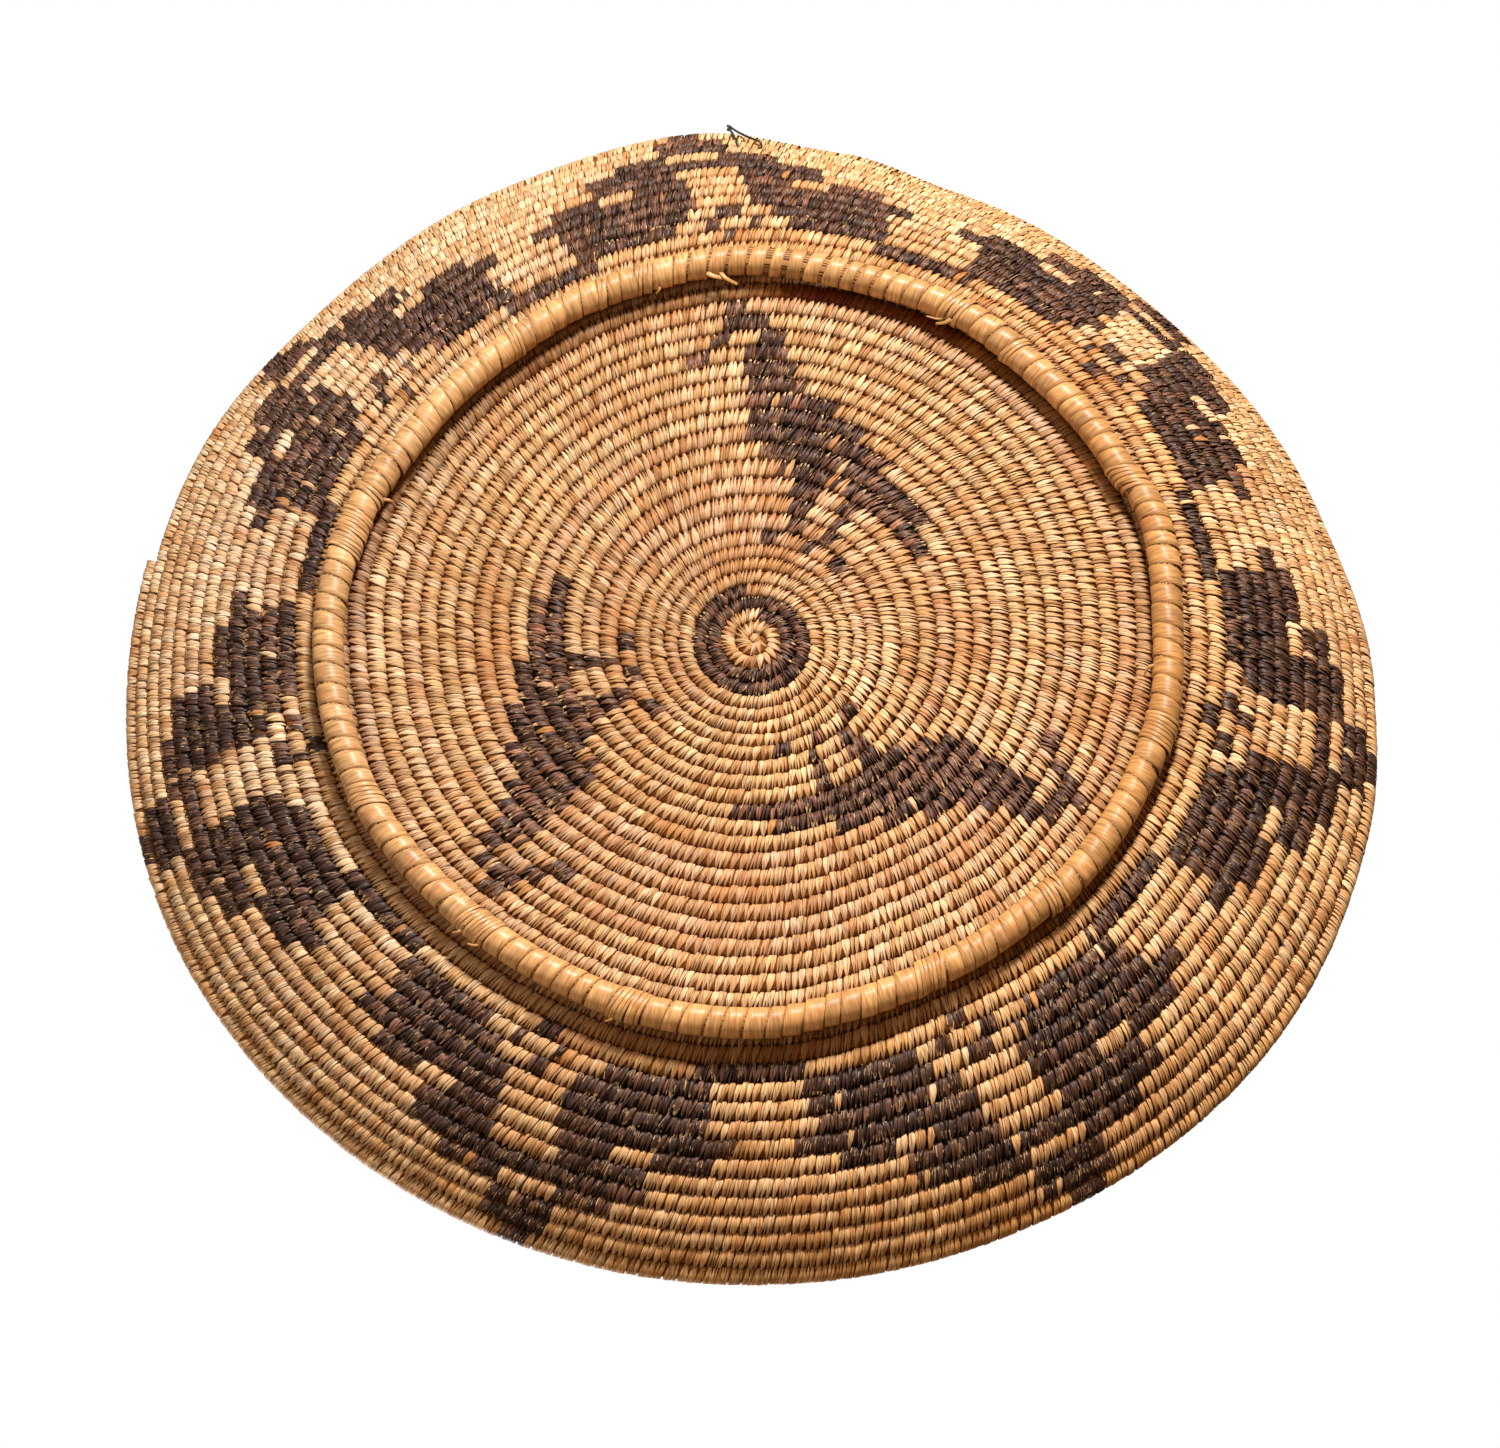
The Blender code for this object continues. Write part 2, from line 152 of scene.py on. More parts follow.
def bands(frames, half, outer, inner, thick, lean, roll, shape, tips, offsets, drops):
    # one loop of splint round the coil for each frame: u = long sgn(cos s)|cos s|^(2/p), where long and p
    # differ outward and inward, v = (thick - drop + roll offset) sgn(sin s)|sin s|^(2/p), w = half offset width(s) + lean u,
    # width(s) = 1 - (1 - tip) (|cos s| - start) / (1 - start) past the start
    point, along, up, away = frames
    count = len(point)
    s = np.radians(shape["stations"])
    steps = len(s)
    outward = np.cos(s) > 0
    power = 2 / np.where(outward, shape["outerPower"], shape["innerPower"])
    start = np.where(outward, shape["outerStart"], shape["innerStart"])
    su = np.sign(np.cos(s)) * np.abs(np.cos(s)) ** power
    sv = np.sign(np.sin(s)) * np.abs(np.sin(s)) ** power
    taper = np.clip((np.abs(np.cos(s)) - start) / (1 - start), 0, 1)
    width = 1 - (1 - np.where(outward[None, :], tips[0][:, None], tips[1][:, None])) * taper[None, :]
    long = np.where(outward[None, :], outer[:, None], inner[:, None])
    u = (long[:, :, None] - drops) * su[None, :, None]
    v = (thick[:, None, None] - drops + roll[:, None, None] * offsets) * sv[None, :, None]
    w = half[:, None, None] * width[:, :, None] * offsets + lean[:, None, None] * u
    grid = point[:, None, None, :] + w[..., None] * along[:, None, None, :] \
        + u[..., None] * up[:, None, None, :] + v[..., None] * away[:, None, None, :]
    wide = len(offsets)
    cell = np.arange(count * steps * wide).reshape(count, steps, wide)
    nextRow = np.roll(cell, -1, axis=1)
    quads = np.stack([cell[:, :, :-1], nextRow[:, :, :-1], nextRow[:, :, 1:], cell[:, :, 1:]], -1)
    quads = quads.reshape(-1, 4)
    across = np.broadcast_to(offsets, u.shape)
    length = np.broadcast_to((s * splint["strandLength"])[None, :, None], u.shape)
    # dip: how far the colour browns toward the ends, partly dirt and partly painted shade where they tuck into the
    # row gaps
    dip = np.where(outward, splint["dipOut"] * np.clip(np.cos(s) / splint["dipReach"] - splint["dipFrom"], 0, 1),
                   splint["dipIn"] * np.abs(np.cos(s)) ** splint["dipPower"])
    tipped = np.broadcast_to((dip * shape["tipped"])[None, :, None], u.shape)
    strand = np.stack([w, length, np.broadcast_to(chance.random(count)[:, None, None], u.shape)], -1)
    return grid.reshape(-1, 3), quads, across.reshape(-1), strand.reshape(-1, 3), tipped.reshape(-1)


def tube(name, path, sideways, upward, radiusU, radiusV, sides, material, closed=False):
    # path + radiusU cos s sideways + radiusV sin s upward
    s = 2 * math.pi * np.arange(sides) / sides
    grid = path[:, None, :] + radiusU[:, None, None] * np.cos(s)[None, :, None] * sideways[:, None, :] \
        + radiusV[:, None, None] * np.sin(s)[None, :, None] * upward[:, None, :]
    cell = np.arange(len(path) * sides).reshape(len(path), sides)
    if closed:
        cell = np.concatenate([cell, cell[:1]])
    after = np.roll(cell, -1, axis=1)
    quads = np.stack([cell[:-1], after[:-1], after[1:], cell[1:]], -1).reshape(-1, 4)
    if not closed:
        ends = [cell[0], cell[-1][::-1]]
        caps = [np.stack([end[0:1].repeat(sides // 2 - 1), end[1:-2:2], end[2:-1:2], end[3::2]], -1)
                for end in ends]
        quads = np.concatenate([quads, *[cap[:, ::-1] for cap in caps]])
    return addMesh(name, grid.reshape(-1, 3), quads, material)


class Net:
    def __init__(self, name):
        self.material = bpy.data.materials.new(name)
        self.material.use_nodes = True
        self.tree = self.material.node_tree
        self.shader = self.tree.nodes["Principled BSDF"]

    def node(self, kind, settings=None, **inputs):
        made = self.tree.nodes.new(kind)
        for key, value in (settings or {}).items():
            setattr(made, key, value)
        for key, value in inputs.items():
            numbered = key[0] == "i" and key[1:].isdigit()
            self.put(made.inputs[int(key[1:]) if numbered else key.replace("_", " ")], value)
        return made

    def put(self, socket, value):
        if isinstance(value, Wire):
            self.tree.links.new(value.socket, socket)
        elif isinstance(value, tuple) and len(value) == 3 and socket.type == "RGBA":
            socket.default_value = (*value, 1)
        else:
            socket.default_value = value

    def attribute(self, name, output="Fac"):
        return Wire(self, self.node("ShaderNodeAttribute", dict(attribute_name=name)).outputs[output])

    def noise(self, vector, scale, detail=3.0, rough=0.55):
        made = self.node("ShaderNodeTexNoise", None, Vector=vector, Scale=scale, Detail=detail, Roughness=rough)
        return Wire(self, made.outputs["Fac"])

    def objectPoint(self):
        return Wire(self, self.node("ShaderNodeTexCoord").outputs["Object"])

    def stretch(self, vector, x, y, z):
        made = self.node("ShaderNodeVectorMath", dict(operation="MULTIPLY"), i0=vector, i1=(x, y, z))
        return Wire(self, made.outputs[0])

    def mix(self, factor, a, b):
        made = self.node("ShaderNodeMix", dict(data_type="RGBA"), i0=factor, i6=a, i7=b)
        return Wire(self, made.outputs[2])

    def tint(self, colour, amount):
        made = self.node("ShaderNodeVectorMath", dict(operation="SCALE"), i0=colour, Scale=amount)
        return Wire(self, made.outputs[0])

    def remap(self, value, low, high, toLow, toHigh):
        made = self.node("ShaderNodeMapRange", None, i0=value, i1=low, i2=high, i3=toLow, i4=toHigh)
        return Wire(self, made.outputs[0])

    def bump(self, height, strength, distance):
        made = self.node("ShaderNodeBump", None, Strength=strength, Distance=distance, Height=height)
        return Wire(self, made.outputs[0])

    def finish(self, **inputs):
        for key, value in inputs.items():
            self.put(self.shader.inputs[key.replace("_", " ")], value)
        return self.material


class Wire:
    def __init__(self, net, socket):
        self.net = net
        self.socket = socket

    def math(self, operation, other=None, flip=False):
        made = self.net.tree.nodes.new("ShaderNodeMath")
        made.operation = operation
        for place, value in zip(reversed(made.inputs[:2]) if flip else made.inputs, (self, other)):
            if value is not None:
                self.net.put(place, value)
        return Wire(self.net, made.outputs[0])

    def __add__(self, other):
        return self.math("ADD", other)

    def __sub__(self, other):
        return self.math("SUBTRACT", other)

    def __rsub__(self, other):
        return self.math("SUBTRACT", other, True)

    def __mul__(self, other):
        return self.math("MULTIPLY", other)

    def __pow__(self, other):
        return self.math("POWER", other)

    def size(self):
        return self.math("ABSOLUTE")

    __radd__ = __add__
    __rmul__ = __mul__


def splintMaterial(name, streak, edge, brown, roughness, coat, bumpStrength, fine, edgeStart, stain, shine,
                   fleckShare=0.0, patch=45.0):
    # colour = tint * streaks, turning brown at the splint's edges and tips, partly its own browner edges and partly
    # painted shade of the gaps, and along the line where it has split
    net = Net(name)
    tone = net.attribute("tint", "Vector")
    strand = net.attribute("strand", "Vector")
    across = net.attribute("across")
    fibres = net.noise(net.stretch(strand, fine, 200, 37), 1.0, 2.0, 0.6)
    patches = net.noise(net.objectPoint(), patch, 3.0)
    stained = net.remap(patches, 0.56, 0.72, 0.0, stain)
    shade = net.remap(fibres, 0.3, 0.7, 1 - streak, 1 + streak * 0.5) * net.remap(patches, 0.3, 0.6, 1.08, 0.92)
    # brown toward the edges and tips: partly the splint's own colour, partly painted shade of the gaps
    edges = net.remap(across.size(), edgeStart, 1.0, 0.0, 1.0) ** 1.5
    rim = edges.math("MAXIMUM", net.attribute("tipped")) * edge
    crack = net.remap((across - net.attribute("split")).size(), 0.02, 0.2, 0.75, 0.0)
    colour = net.mix(stained, net.tint(tone, shade), (0.5, 0.19, 0.055))
    colour = net.mix(rim.math("MAXIMUM", crack), colour, brown)
    # pale straw-coloured flecks near the splint's tips and edges
    if fleckShare:
        flecks = net.remap(net.noise(net.objectPoint(), 400.0, 1.0), 0.565, 0.6, 0.0, fleckShare)
        fleckPlaces = net.remap(net.attribute("tipped").math("MAXIMUM", across.size() - 0.6), 0.1, 0.2, 0.0, 1.0)
        colour = net.mix(flecks * fleckPlaces, colour, (0.8, 0.51, 0.26))
    return net.finish(Base_Color=colour, Roughness=roughness, Coat_Weight=coat, Coat_Roughness=0.3,
                      Specular_IOR_Level=shine, Normal=net.bump(fibres, bumpStrength, 0.0002))


strawMaterial = splintMaterial("straw splint", streak=0.55, edge=0.95, brown=(0.15, 0.036, 0.004), roughness=0.5,
                               coat=0.0, bumpStrength=0.7, fine=2300, edgeStart=0.84, stain=0.55, shine=0.15)
darkMaterial = splintMaterial("dark splint", streak=0.7, edge=0.8, brown=(0.02, 0.006, 0.0025), roughness=0.5,
                              coat=0.0, bumpStrength=0.8, fine=2300, edgeStart=0.7, stain=0.0, shine=0.28,
                              fleckShare=0.9)
caneMaterial = splintMaterial("glossy cane", streak=0.46, edge=0.92, brown=(0.05, 0.014, 0.003), roughness=0.44,
                              coat=0.12, bumpStrength=0.6, fine=1500, edgeStart=0.9, stain=0.62, shine=0.3,
                              patch=150.0)


def grainyMaterial(name, low, high, roughness, metallic):
    # colour = low to high by the grain
    net = Net(name)
    grain = net.noise(net.stretch(net.objectPoint(), 1, 1, 0.4), 900.0, 4.0)
    return net.finish(Base_Color=net.mix(net.remap(grain, 0.3, 0.7, 0.0, 1.0), low, high), Roughness=roughness,
                      Metallic=metallic, Specular_IOR_Level=0.1, Normal=net.bump(grain, 0.4, 0.0003))


# the coil's fibre is dark brown, partly painted shade of the gaps between the stitches
coreNet = Net("coil fibre")
coreGrain = coreNet.noise(coreNet.objectPoint(), 900.0, 3.0)
coreLight = coreNet.mix(coreNet.remap(coreGrain, 0.3, 0.7, 0.0, 1.0), (0.11, 0.028, 0.004), (0.26, 0.09, 0.017))
coreMaterial = coreNet.finish(Base_Color=coreNet.mix(coreNet.attribute("dark"), coreLight, (0.012, 0.005, 0.003)),
                              Roughness=0.8, Specular_IOR_Level=0.1)
bundleNet = Net("core bundle")
strands = bundleNet.noise(bundleNet.attribute("lane", "Vector"), 1.0, 1.0)
bundleLight = bundleNet.remap(strands, 0.42, 0.58, 0.0, 1.0)
bundleColour = bundleNet.mix(bundleLight, (0.07, 0.02, 0.004), (0.46, 0.22, 0.07))
bundleMaterial = bundleNet.finish(Base_Color=bundleColour, Roughness=0.6, Specular_IOR_Level=0.2,
                                  Normal=bundleNet.bump(strands, 0.5, 0.0004))
ironMaterial = grainyMaterial("iron wire", (0.03, 0.028, 0.027), (0.11, 0.1, 0.095), 0.45, 0.7)


# The dark motifs' polygons have corners (degrees, row); degrees run anticlockwise seen from below, from -X
birdParts = (
    ((-6.9, 18.5), (-6.6, 20.5), (-4.0, 20.5), (-3.6, 21.5), (0.0, 21.5), (0.0, 22.5), (3.2, 22.5), (3.2, 21.5),
     (4.2, 21.5), (4.2, 20.5), (6.6, 20.5), (6.6, 19.5), (10.8, 19.5), (10.8, 18.5), (6.8, 18.5), (6.8, 19.5),
     (3.6, 19.5), (3.6, 20.5), (-2.2, 20.5), (-2.2, 19.5), (0.6, 19.5), (0.4, 13.5), (-2.8, 13.5), (-2.8, 12.5),
     (-9.8, 12.5), (-9.8, 11.5), (-64.4, 11.5), (-64.4, 12.5), (-55.8, 12.5), (-55.8, 13.5), (-37.8, 13.5),
     (-37.8, 14.5), (-27.4, 14.5), (-27.4, 15.5), (-19.6, 15.5), (-19.6, 16.5), (-12.0, 16.5), (-12.0, 17.5)),
    ((-39.0, 11.5), (-32.8, 11.5), (-33.2, 8.5), (-37.0, 8.5)),
    ((-22.6, 11.5), (-14.8, 11.5), (-15.0, 9.5), (-16.0, 8.5), (-22.8, 8.5)),
    ((-50.5, 7.5), (-41.0, 7.5), (-41.0, 8.5), (-50.5, 8.5)),
    ((-32.2, 7.5), (-25.0, 7.5), (-25.0, 8.5), (-32.2, 8.5)),
    ((-13.6, 7.5), (-5.2, 7.5), (-5.2, 8.5), (-13.6, 8.5)),
)
birds = (dict(at=91.3, row=-1, wide=1.0), dict(at=225.0, row=0, wide=0.97), dict(at=329.0, row=0, wide=1.01))
figureParts = (
    ((-1.2, 4.5), (1.7, 4.5), (1.7, 3.5), (3.4, 3.5), (3.4, 1.5), (-3.1, 1.5), (-3.1, 3.5), (-1.2, 3.5)),
    ((-8.6, 1.5), (-2.4, 1.5), (-2.4, 0.5), (-8.6, 0.5)),
    ((3.3, 1.5), (9.1, 1.5), (9.1, 0.5), (3.3, 0.5)),
    ((-12.8, 0.5), (12.8, 0.5), (12.8, -1.5), (3.2, -1.5), (3.2, -0.5), (-3.8, -0.5), (-3.8, -1.5), (-12.8, -1.5)),
    ((-9.8, -1.5), (-4.1, -1.5), (-4.4, -4.5), (-6.6, -4.5), (-6.6, -5.5), (-8.2, -5.5), (-8.2, -6.5), (-21.6, -6.5),
     (-21.0, -4.5), (-20.4, -3.5), (-23.3, -3.5), (-23.3, -2.5), (-19.4, -2.5), (-19.4, -1.5), (-13.7, -1.5),
     (-13.7, -2.5), (-9.8, -2.5)),
    ((2.8, -1.5), (8.8, -1.5), (8.8, -2.5), (12.9, -2.5), (12.9, -1.5), (19.2, -1.5), (19.2, -2.5), (22.0, -2.5),
     (22.0, -3.5), (19.2, -3.5), (19.2, -6.5), (6.2, -6.5), (6.2, -5.5), (3.6, -5.5), (3.6, -4.5), (2.4, -4.5)),
    ((-2.5, -4.5), (0.2, -4.5), (0.2, -5.5), (-2.5, -5.5)),
    ((0.2, -5.5), (2.0, -5.5), (2.0, -6.5), (0.2, -6.5)),
    ((-5.3, -5.5), (-3.7, -5.5), (-3.7, -6.5), (-5.3, -6.5)),
    ((-2.3, -6.5), (0.0, -6.5), (0.0, -7.5), (-2.3, -7.5)),
    ((17.6, -6.5), (31.0, -6.5), (31.0, -7.5), (17.6, -7.5)),
)
figures = (dict(at=44.0, row=33, wide=1.03, lean=0.13, drop=0),
           dict(at=95.5, row=33, wide=0.97, lean=0.25, drop=0),
           dict(at=143.3, row=33, wide=0.98, lean=0.05, drop=0),
           dict(at=196.0, row=34, wide=0.97, lean=0.08, drop=1),
           dict(at=247.2, row=34, wide=0.97, lean=0.2, drop=0),
           dict(at=299.4, row=34, wide=1.04, lean=0.33, drop=0),
           dict(at=351.2, row=34, wide=0.99, lean=0.02, drop=0))


def inside(polygon, x, y):
    # even-odd crossing count over all points at once
    odd = np.zeros(len(x), bool)
    for (x0, y0), (x1, y1) in zip(polygon, polygon[1:] + polygon[:1]):
        if y0 != y1:
            odd ^= ((y0 > y) != (y1 > y)) & (x < (x1 - x0) * (y - y0) / (y1 - y0) + x0)
    return odd


def darkPolygons():
    # each motif's polygons moved to its angle and row, widened, and leaned by its height
    placed = []
    for bird in birds:
        for part in birdParts:
            placed.append([(bird["at"] + bird["wide"] * x, bird["row"] + y) for x, y in part])
    for figure in figures:
        for part in figureParts:
            moved = []
            for x, y in part:
                down = figure["drop"] if y < -1 and x < 1.5 else 0
                moved.append((figure["at"] + figure["wide"] * x + figure["lean"] * y, figure["row"] + y - down))
            placed.append(moved)
    return placed


def isDark(turn):
    # dark in the eye ring's turns and inside any motif, whose degrees also count a turn on and a turn back
    degrees = (-360 * turn) % 360
    row = np.ceil(turn) - 1
    dark = (turn > coil["eyeFrom"]) & (turn < coil["eyeTo"])
    for polygon in darkPolygons():
        for shift in (-1, 0, 1):
            dark |= inside(polygon, degrees + 360 * shift, row + shift)
    return dark


stitch = dict(closest=0.62, widest=1.34, wobble=0.1, endGap=0.0015, outerLong=0.69, rimLong=0.6, innerLong=0.52,
              lean=0.25, roll=0.0001, scatter=0.00018, splitShares=(0.26, 0.8), strayLight=0.02, noSplit=5.0)


def rowSize(turn):
    # the first stitches grow from the knot, and the tight rows of the middle are a little smaller
    grown = np.clip(0.4 + 0.6 * (turn - coil["firstTurn"]) / 0.6, 0.4, 1)
    return (0.8 + 0.2 * np.clip(turn / 8.0, 0, 1)) * grown


def stitchPitch(turn):
    # metres along the coil from one stitch to the next
    return float(np.interp(turn, (0, 1.5, 4, 8, 12, 24, 30, 37, 37.6, 39),
                           (0.0012, 0.0014, 0.0015, 0.00165, 0.0018, 0.0018, 0.0018, 0.0018, 0.0021, 0.0021)))


def placeStitches():
    # a stitch goes between two of the row below; one is added, or left out, where they come too far apart or close
    turns = [coil["firstTurn"]]
    while turns[-1] < coil["firstTurn"] + 1:
        turns.append(turns[-1] + stitchPitch(turns[-1]) / (2 * math.pi * max(float(arcAt(turns[-1])), 0.0018)))
    below = 0
    wobble = chance.normal(0, stitch["wobble"], 20000)
    while turns[-1] < lastTurn:
        place = (turns[below] + turns[below + 1]) / 2 + 1
        below += 1
        step = stitchPitch(place) / (2 * math.pi * reachAt(place))
        place += wobble[len(turns)] * step
        gap = (place - turns[-1]) / step
        if gap < stitch["closest"]:
            continue
        if gap > stitch["widest"]:
            turns.append(turns[-1] + gap * step / 2)
        turns.append(place)
    return np.array([turn for turn in turns if turn < lastTurn - stitch["endGap"]])


def reachAt(turn):
    # how far the coil lies from the middle, read from the table below
    return float(np.interp(turn, reachTurns, reachValues))


reachTurns = np.linspace(coil["firstTurn"], lastTurn + 1, 900)
reachValues = coilFrame(reachTurns)[4]
turns = placeStitches()
print("stitches:", len(turns))

widths = np.gradient(turns) * 2 * math.pi * np.interp(turns, reachTurns, reachValues)
dark = isDark(turns)
count = len(turns)
rimRow = turns > lastTurn - 1
draw = chance.random((count, 6))
strayLight = dark & (draw[:, 0] < stitch["strayLight"]) & (turns > coil["eyeTo"])
dark &= ~strayLight

# Straw tints from pale to brown, the dark splint's tint and its reddest part, and shares of red, green and blue,
# some of them for painted sheen and painted shade
tones = dict(straw=((0.88, 0.59, 0.33), (0.76, 0.44, 0.195), (0.60, 0.285, 0.10), (0.46, 0.17, 0.045)),
             dark=(0.048, 0.0205, 0.012), darkRed=(0.17, 0.068, 0.034), strayLight=(0.56, 0.24, 0.07),
             honey=(-0.06, -0.17, -0.36), sheenLeft=(0.0, 0.13, 0.42), palerRight=(0.11, 0.13, 0.2),
             pink=(-0.04, -0.1, -0.02), darkSheenLeft=(0.0, 0.1, 0.3), ringShade=(0.86, 1.0, 1.12))
palette = np.array(tones["straw"])
slowWave = 0.5 + 0.5 * np.sin(turns * 2 * math.pi * 3.1 + 1.7 * np.sin(turns * 1.3))
pick = np.clip(draw[:, 1] * 1.5 + 0.5 * slowWave, 0, 2)
paler = np.minimum(pick.astype(int), 1)
strawTint = palette[paler] + (palette[paler + 1] - palette[paler]) * (pick - paler)[:, None]
redder = draw[:, 2] < 0.05
strawTint[redder] = strawTint[redder] * 0.5 + palette[3] * 0.5
strawTint[strayLight & (draw[:, 3] < 0.3)] = tones["strayLight"]

# the wall is more honey coloured than the base, and some rows are pinker
honey = np.interp(turns, (24, 32, lastTurn - 1.2, lastTurn - 0.9), (0, 0.5, 0.8, 1)) \
    * np.clip(0.4 + 0.7 * np.sin(2 * math.pi * turns), 0.1, 1)
honey = np.maximum(honey, 0.75 * np.exp(-((turns - 26.4) / 1.5) ** 2))[:, None]
strawTint *= 1 + honey * np.array(tones["honey"])

# a paler painted sheen toward the wall's left, paler and brighter toward its right, darker at its upper left, the
# base browner on its left, and painted shade where the ring meets the base; left, right and top are the photo's
onWall = np.interp(turns, (21, 25), (0, 1))[:, None]
toRight = np.cos(2 * math.pi * turns)[:, None]
toLeft = np.clip(-toRight, 0, 1)
toRight = np.clip(toRight, 0, 1)
toTop = np.clip(-np.sin(2 * math.pi * turns), 0, 1)
# painted sheen paler on the wall's left, paler and brighter toward its right; darker at its upper left, base browner
# on its left
sideTone = 1 + onWall * (toLeft * np.array(tones["sheenLeft"]) + toRight * np.array(tones["palerRight"]))
sideTone = sideTone * (1 - (1 - onWall) * (0.03 + 0.1 * toLeft)) * (1 - 0.12 * onWall * toLeft * toTop[:, None])
# painted shade where the ring meets the base, partly dirt: a painted shadow inside it at the top, outside at the
# bottom
fromRing = np.interp(turns, reachTurns, reachValues) \
    - ring["radius"] * around(ringShares, math.pi + 2 * math.pi * turns)
innerRingShadow = np.clip(0.4 - 0.75 * np.sin(2 * math.pi * turns), 0, 1) \
    * np.exp(-((fromRing + 0.0055) / 0.0033) ** 2)
outerRingShadow = np.clip(0.1 + np.sin(2 * math.pi * turns), 0, 1) * np.exp(-((fromRing - 0.005) / 0.0027) ** 2)
ringShade = 0.45 * np.exp(-(fromRing / 0.006) ** 2) + (0.64 + 0.12 * toTop) * np.maximum(innerRingShadow, outerRingShadow)
strawTint *= sideTone
pink = np.clip(np.sin(turns * 2 * math.pi * 0.83 + 2.5 * np.sin(turns * 0.71)), 0, 1)[:, None]
strawTint *= 1 + pink * (1 - 0.6 * onWall) * np.array(tones["pink"])
redZone = 0.5 + 0.5 * np.sin(turns * 2 * math.pi * 5.3 + 2.1 * np.sin(turns * 2.7))
darkTint = np.array(tones["dark"]) + (0.3 + 0.7 * redZone[:, None]) * draw[:, 4:5] ** 1.7 \
    * np.array(tones["darkRed"])
# dark splints lighter on the base; a painted sheen lightens them on the wall's top side and greys them on its left
darkTint *= 1.2 + 0.27 * toTop[:, None] * onWall + 0.62 * (1 - onWall)
darkTint *= 1 + onWall * toLeft * np.array(tones["darkSheenLeft"])
tint = np.where(dark[:, None], darkTint, strawTint) * (0.88 + 0.24 * draw[:, 5:6])

# some stitches have split in two along the splint, most of the dark ones have
split = chance.random(count) < np.where(dark, stitch["splitShares"][1], stitch["splitShares"][0])
splitShare = np.where(split, 0.36 + 0.28 * chance.random(count), 1.0)
owner = np.concatenate([np.arange(count), np.arange(count)[split]])
halfShare = np.concatenate([splitShare, 1 - splitShare[split]])
sideShare = np.concatenate([np.where(split, splitShare - 1, 0.0), splitShare[split]])
splintCount = len(owner)
rough = np.where(rimRow[owner], 0.35, 1 + 0.9 * dark[owner])
spread = 0.5 * widths[owner] * (0.95 + 0.12 * chance.random(splintCount)) * halfShare
frames = list(coilFrame(turns[owner]))
frames[0] = frames[0] + (stitch["scatter"] * rough * chance.standard_normal(splintCount))[:, None] * frames[2] \
    + (0.5 * widths[owner] * sideShare)[:, None] * frames[1]
rowGaps = rowGap(turns[owner])
outerLong = np.where(rimRow[owner], stitch["rimLong"], stitch["outerLong"]) * rowGaps \
    * (1 + 0.05 * rough * chance.standard_normal(splintCount))
innerLong = stitch["innerLong"] * rowGaps * (1 + 0.04 * rough * chance.standard_normal(splintCount))
thickHalf = coil["halfThick"] * (1 + 0.03 * rough * chance.standard_normal(splintCount)) * rowSize(turns[owner])
leanShare = stitch["lean"] + 0.06 * rough * chance.standard_normal(splintCount)
roll = stitch["roll"] + 0.00009 * rough * chance.standard_normal(splintCount)
tint = tint[owner] * (0.94 + 0.12 * chance.random((splintCount, 1)))
splitAt = np.where(chance.random(splintCount) < 0.55, 0.9 * chance.random(splintCount) - 0.45, stitch["noSplit"])

# the painted shade at the stitches' edges and tips is weaker high on the wall's far side
lessEdgeShade = np.clip((turns - 28) / 3, 0, 1) \
    * np.clip(0.35 + np.cos(2 * math.pi * turns + math.radians(60)), 0, 1)
edgeShadeShare = (1 - 0.15 * lessEdgeShade)[owner]
across6 = np.array([-1, -0.88, -0.64, 0.64, 0.88, 1.0])
drops6 = np.array([0.00026, 0.00005, 0, 0, 0.00005, 0.00026])
stitchShape = dict(stations=np.array([0, 28, 54, 90, 126, 152, 180, 222, 270, 318]), outerPower=1.95,
                   innerPower=2.7, outerStart=0.1, innerStart=0.7, tipped=1.0)
rimShape = dict(stitchShape, outerPower=2.2, innerPower=1.9, outerStart=0.5, innerStart=0.25, tipped=0.5)
looks = {"rim": (rimShape, (0.95, 0.45), 0.5 * drops6),
         "upper_wall": (dict(stitchShape, tipped=0.6), (0.15, 0.75), 0.85 * drops6)}
print("splints:", splintCount)


def addStitches(name, chosen, material, slotName, node, shape, tips, drops):
    # one mesh of the chosen splints, with painted shade near the ring on the underside only
    if not chosen.any():
        return
    ones = np.ones(int(chosen.sum()))
    parts = [whole[chosen] for whole in frames[:4]]
    points, quads, across, strand, tipped = bands(parts, spread[chosen], outerLong[chosen], innerLong[chosen],
                                                  thickHalf[chosen], leanShare[chosen], roll[chosen], shape,
                                                  (tips[0] * ones, tips[1] * ones), across6, drops)
    each = len(shape["stations"]) * len(across6)
    under = np.repeat(np.clip(3 * np.sin(np.radians(shape["stations"])), 0, 1), len(across6))
    unshaded = 1 - (ringShade[owner][chosen, None] * under).reshape(-1, 1) * np.array(tones["ringShade"])
    share = np.repeat(edgeShadeShare[chosen], each)
    piece = addMesh(name, points, quads, material,
                    dict(across=across * share, strand=strand, tint=np.repeat(tint[chosen], each, axis=0) * unshaded,
                         split=np.repeat(splitAt[chosen], each), tipped=tipped * (5 * share - 4)))
    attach(piece, "root")
    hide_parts(node)


